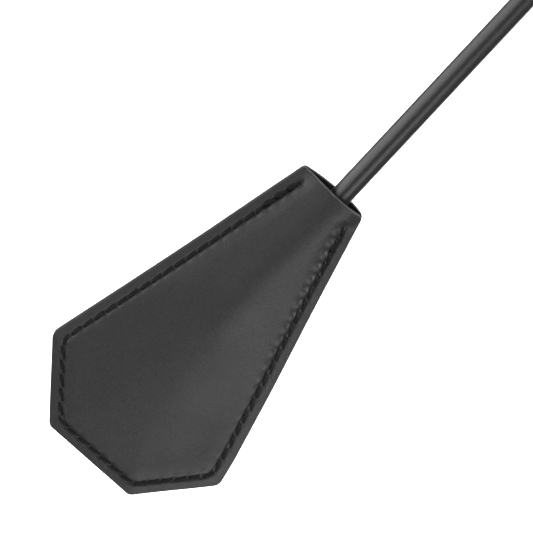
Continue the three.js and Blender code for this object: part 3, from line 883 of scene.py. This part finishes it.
def swept(route, section):
    """Points of a section carried along a route in the XZ plane."""
    tangent = np.gradient(route, axis=0)
    tangent /= np.linalg.norm(tangent, axis=1)[:, None]
    normal = np.stack([tangent[:, 1], -tangent[:, 0]], axis=1)
    points = np.zeros((len(route), len(section), 3))
    points[..., 0] = route[:, None, 0] + normal[:, None, 0] * section[None, :, 1]
    points[..., 1] = section[None, :, 0]
    points[..., 2] = route[:, None, 1] + normal[:, None, 1] * section[None, :, 1]
    return points * MM


def strap_piece():
    route, thick = strap_route()
    low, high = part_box("wrist_strap")
    points = swept(route, strap_section((high.y - low.y) / MM, thick))
    rows, columns = points.shape[:2]
    faces = grid_faces(rows, columns, wrap=True)
    faces.append(tuple(range(columns))[::-1])
    faces.append(tuple(range((rows - 1) * columns, rows * columns)))
    obj = new_object("wrist_strap_leather", points.reshape(-1, 3), faces, strap_leather, 50)
    obj.data.materials.append(cut_edge)
    for polygon in obj.data.polygons:
        if abs(polygon.normal.y) > 0.75:
            polygon.material_index = 1
    return obj


def slider_piece():
    """Leather band round both legs, with rounded corners and softened edges."""
    low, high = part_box("strap_slider")
    wall, around = 2.0, 12
    outside = (high.x / MM, high.y / MM)
    inside = (outside[0] - wall, outside[1] - wall)
    bottom, top = low.z / MM, high.z / MM
    ring = {}
    for key, (a, b), r in (("outer", outside, 2.2), ("inner", inside, 0.5)):
        ring[key] = np.array(rounded([(-a, -b), (a, -b), (a, b), (-a, b)], r, around))
    # Each edge as (height in from it, share of the way from the outer ring to the inner one)
    edge = [(0.0, 0.9), (0.12, 0.0875), (0.5, 0.0)]
    levels = [(bottom + z, share) for z, share in edge] + [(top - z, share) for z, share in edge[::-1]]
    levels += [(top, 1.0), (bottom, 1.0), levels[0]]
    rows = []
    for z, share in levels:
        flat = ring["outer"] * (1 - share) + ring["inner"] * share
        rows.append(np.column_stack([flat, np.full(len(flat), z)]))
    points = np.array(rows) * MM
    faces = grid_faces(points.shape[0], points.shape[1], wrap=True)
    return new_object("slider_band", points.reshape(-1, 3), faces, strap_leather, 40)


def slider_stitch_piece():
    """Three crossed stitches up the back of the slider, where its ends meet."""
    low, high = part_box("strap_slider")
    middle, back, pitch = (low.z + high.z) / 2, high.y, 2.6 * MM
    vertices, faces, start = [], [], 0
    for i in (-1, 0, 1):
        for lean in (-1, 1):
            z = middle + i * pitch
            t = np.linspace(-1, 1, 9)
            line = np.stack([1.5 * MM * t, back + (0.12 - 0.6 * t ** 6) * MM, z + lean * 0.75 * MM * t], axis=1)
            points, quads = thread_tube(line, 0.32, 0.28, 2.5, 1)
            vertices.append(points)
            faces += [tuple(start + v for v in quad) for quad in quads]
            start += len(points)
    return new_object("slider_cross_stitch", np.concatenate(vertices), faces, thread, 60)


strap = strap_piece()
slider = slider_piece()
slider_stitch = slider_stitch_piece()


# ---------------------------------------------------------------- what rides on what

for piece, nodes, slot in (
    (keeper_front, ("keeper_front_upper", "keeper_front_lower"), "keeper_leather"),
    (keeper_back, ("keeper_back_upper", "keeper_back_lower"), "keeper_leather"),
    (front_stitches, ("thread_front_left", "thread_front_right", "thread_front_lower"), "thread"),
    (back_stitches, ("thread_back_left", "thread_back_right", "thread_back_lower"), "thread"),
):
    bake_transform(piece)
    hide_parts(*nodes)

# Each panel is one piece of leather cut to the pattern: the part above the shoulders and the part below them
panel_area = (MOUTH_HALF + SHOULDER_HALF) * SHOULDER_DEPTH
panel_area += (SHOULDER_HALF + END_HALF) * (LENGTH - SHOULDER_DEPTH)

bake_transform(strap)
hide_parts("wrist_strap", "strap_tail_left", "strap_tail_right")

for piece, body, node, slot in (
    (shaft, CROP, "shaft_cover", "shaft_cover"),
    (grip, CROP, "grip_cover", "grip_leather"),
    (ferrule, CROP, "lower_ferrule", "trim_plastic"),
    (collar, CROP, "upper_collar", "trim_plastic"),
    (cap, CROP, "butt_cap", "trim_plastic"),
    (slider, SLIDER, "strap_slider", "strap_leather"),
    (slider_stitch, SLIDER, "slider_stitch", "thread"),
):
    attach(piece, body)
    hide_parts(node)

# The pieces inside keep their CAD shape and get a material
for node, material, slot in (
    ("shaft_core", fibreglass, "fibreglass"),
    ("rod_end_cap", rubber, "rubber"),
    ("grip_core", wood, "grip_wood"),
    ("strap_pin", steel, "steel"),
):
    obj = frame["nodes"][node]
    obj.data.materials.clear()
    obj.data.materials.append(material)


# ---------------------------------------------------------------- camera, floor and light

def add_camera():
    """At the photograph's angle: above the front, turned so that the shaft runs up to the right."""
    tilt, azimuth = CAMERA_TILT, CAMERA_AZIMUTH
    side = Vector((math.cos(azimuth), -math.sin(azimuth), 0))
    level = Vector((-math.sin(azimuth), -math.cos(azimuth), 0))
    back = level * math.cos(tilt) + Vector((0, 0, math.sin(tilt)))
    lift = back.cross(side)
    right = side * math.cos(CAMERA_ROLL) + lift * math.sin(CAMERA_ROLL)
    up = -side * math.sin(CAMERA_ROLL) + lift * math.cos(CAMERA_ROLL)
    target = Vector((VIEW_SIDE, 0, mouth.z - VIEW_DEPTH * MM))
    data = bpy.data.cameras.new("camera")
    data.lens = CAMERA_LENS
    data.sensor_width = SENSOR
    data.clip_start, data.clip_end = 0.05, 80
    camera = bpy.data.objects.new("camera", data)
    bpy.context.scene.collection.objects.link(camera)
    place = Matrix((right, up, back)).transposed().to_4x4()
    place.translation = target + back * (CAMERA_LENS / SENSOR * VIEW_WIDTH)
    camera.matrix_world = place
    bpy.context.scene.camera = camera


def add_floor():
    """A white light table: it glows evenly, and the low softboxes shine through it."""
    size, drop = 14.0, 0.07
    bottom = cad_box[0].z - drop
    steps = np.linspace(-size, size, 9)
    vertices = [(x, y, bottom) for y in steps for x in steps]
    material, nodes, links, shader = node_material("pale_floor")
    speckle = noise(nodes, links, 40.0, 4.0)
    links.new(ramp(nodes, links, speckle.outputs["Fac"], [(0.3, 0.9), (0.7, 0.94)]), shader.inputs["Base Color"])
    shader.inputs["Roughness"].default_value = 0.9
    shader.inputs["Specular IOR Level"].default_value = 0.1
    shader.inputs["Emission Color"].default_value = (1, 1, 1, 1)
    shader.inputs["Emission Strength"].default_value = 1.0
    floor = new_object("floor", vertices, grid_faces(9, 9), material)
    floor.visible_glossy = False
    floor.visible_diffuse = False
    floor.visible_shadow = False


def add_softbox(name, turn, rise, distance, size, power):
    """A softbox facing the keeper: turn degrees to +X of straight in front, rise degrees up."""
    data = bpy.data.lights.new(name, "AREA")
    data.shape = "RECTANGLE"
    data.size, data.size_y = size
    data.energy = power
    light = bpy.data.objects.new(name, data)
    bpy.context.scene.collection.objects.link(light)
    turn, rise = math.radians(turn), math.radians(rise)
    flat = Vector((math.sin(turn), -math.cos(turn), 0))
    toward = flat * math.cos(rise) + Vector((0, 0, math.sin(rise)))
    light.location = mouth + down * 0.05 + toward * distance
    light.rotation_mode = "QUATERNION"
    light.rotation_quaternion = toward.to_track_quat("Z", "Y")
    light.visible_camera = False


def add_world():
    """Soft even surroundings; seen directly they are plain white."""
    world = bpy.data.worlds.new("studio")
    bpy.context.scene.world = world
    world.use_nodes = True
    nodes, links = world.node_tree.nodes, world.node_tree.links
    background = nodes["Background"]
    seen = nodes.new("ShaderNodeLightPath")
    mix = nodes.new("ShaderNodeMix")
    mix.inputs["A"].default_value = 0.1
    mix.inputs["B"].default_value = 1.15
    links.new(seen.outputs["Is Camera Ray"], mix.inputs["Factor"])
    links.new(mix.outputs["Result"], background.inputs["Strength"])
    background.inputs["Color"].default_value = (1, 1, 1, 1)


add_camera()
add_floor()
add_world()
# Name, turn, rise, distance, width and height, power: one close light for the shine beside the fold, and
# large ones all round for the soft studio light
for softbox in (
    ("key_right", 35, -20, 0.5, (0.3, 0.3), 0.85),
    ("left_front", -40, -15, 1.2, (0.62, 0.62), 2.8),
    ("left_side", -85, -15, 1.2, (1.5, 0.62), 8.2),
    ("overhead", 0, 90, 1.2, (0.8, 0.8), 23),
    ("right_low", 65, -45, 1.2, (0.62, 0.62), 2.4),
    ("right_high", 85, 50, 1.2, (0.7, 0.7), 8),
    ("back_left", -155, 15, 1.2, (0.62, 0.62), 6),
    ("back_right", 150, 5, 1.2, (0.62, 0.62), 4),
):
    add_softbox(*softbox)
bpy.context.scene.view_settings.view_transform = "Standard"
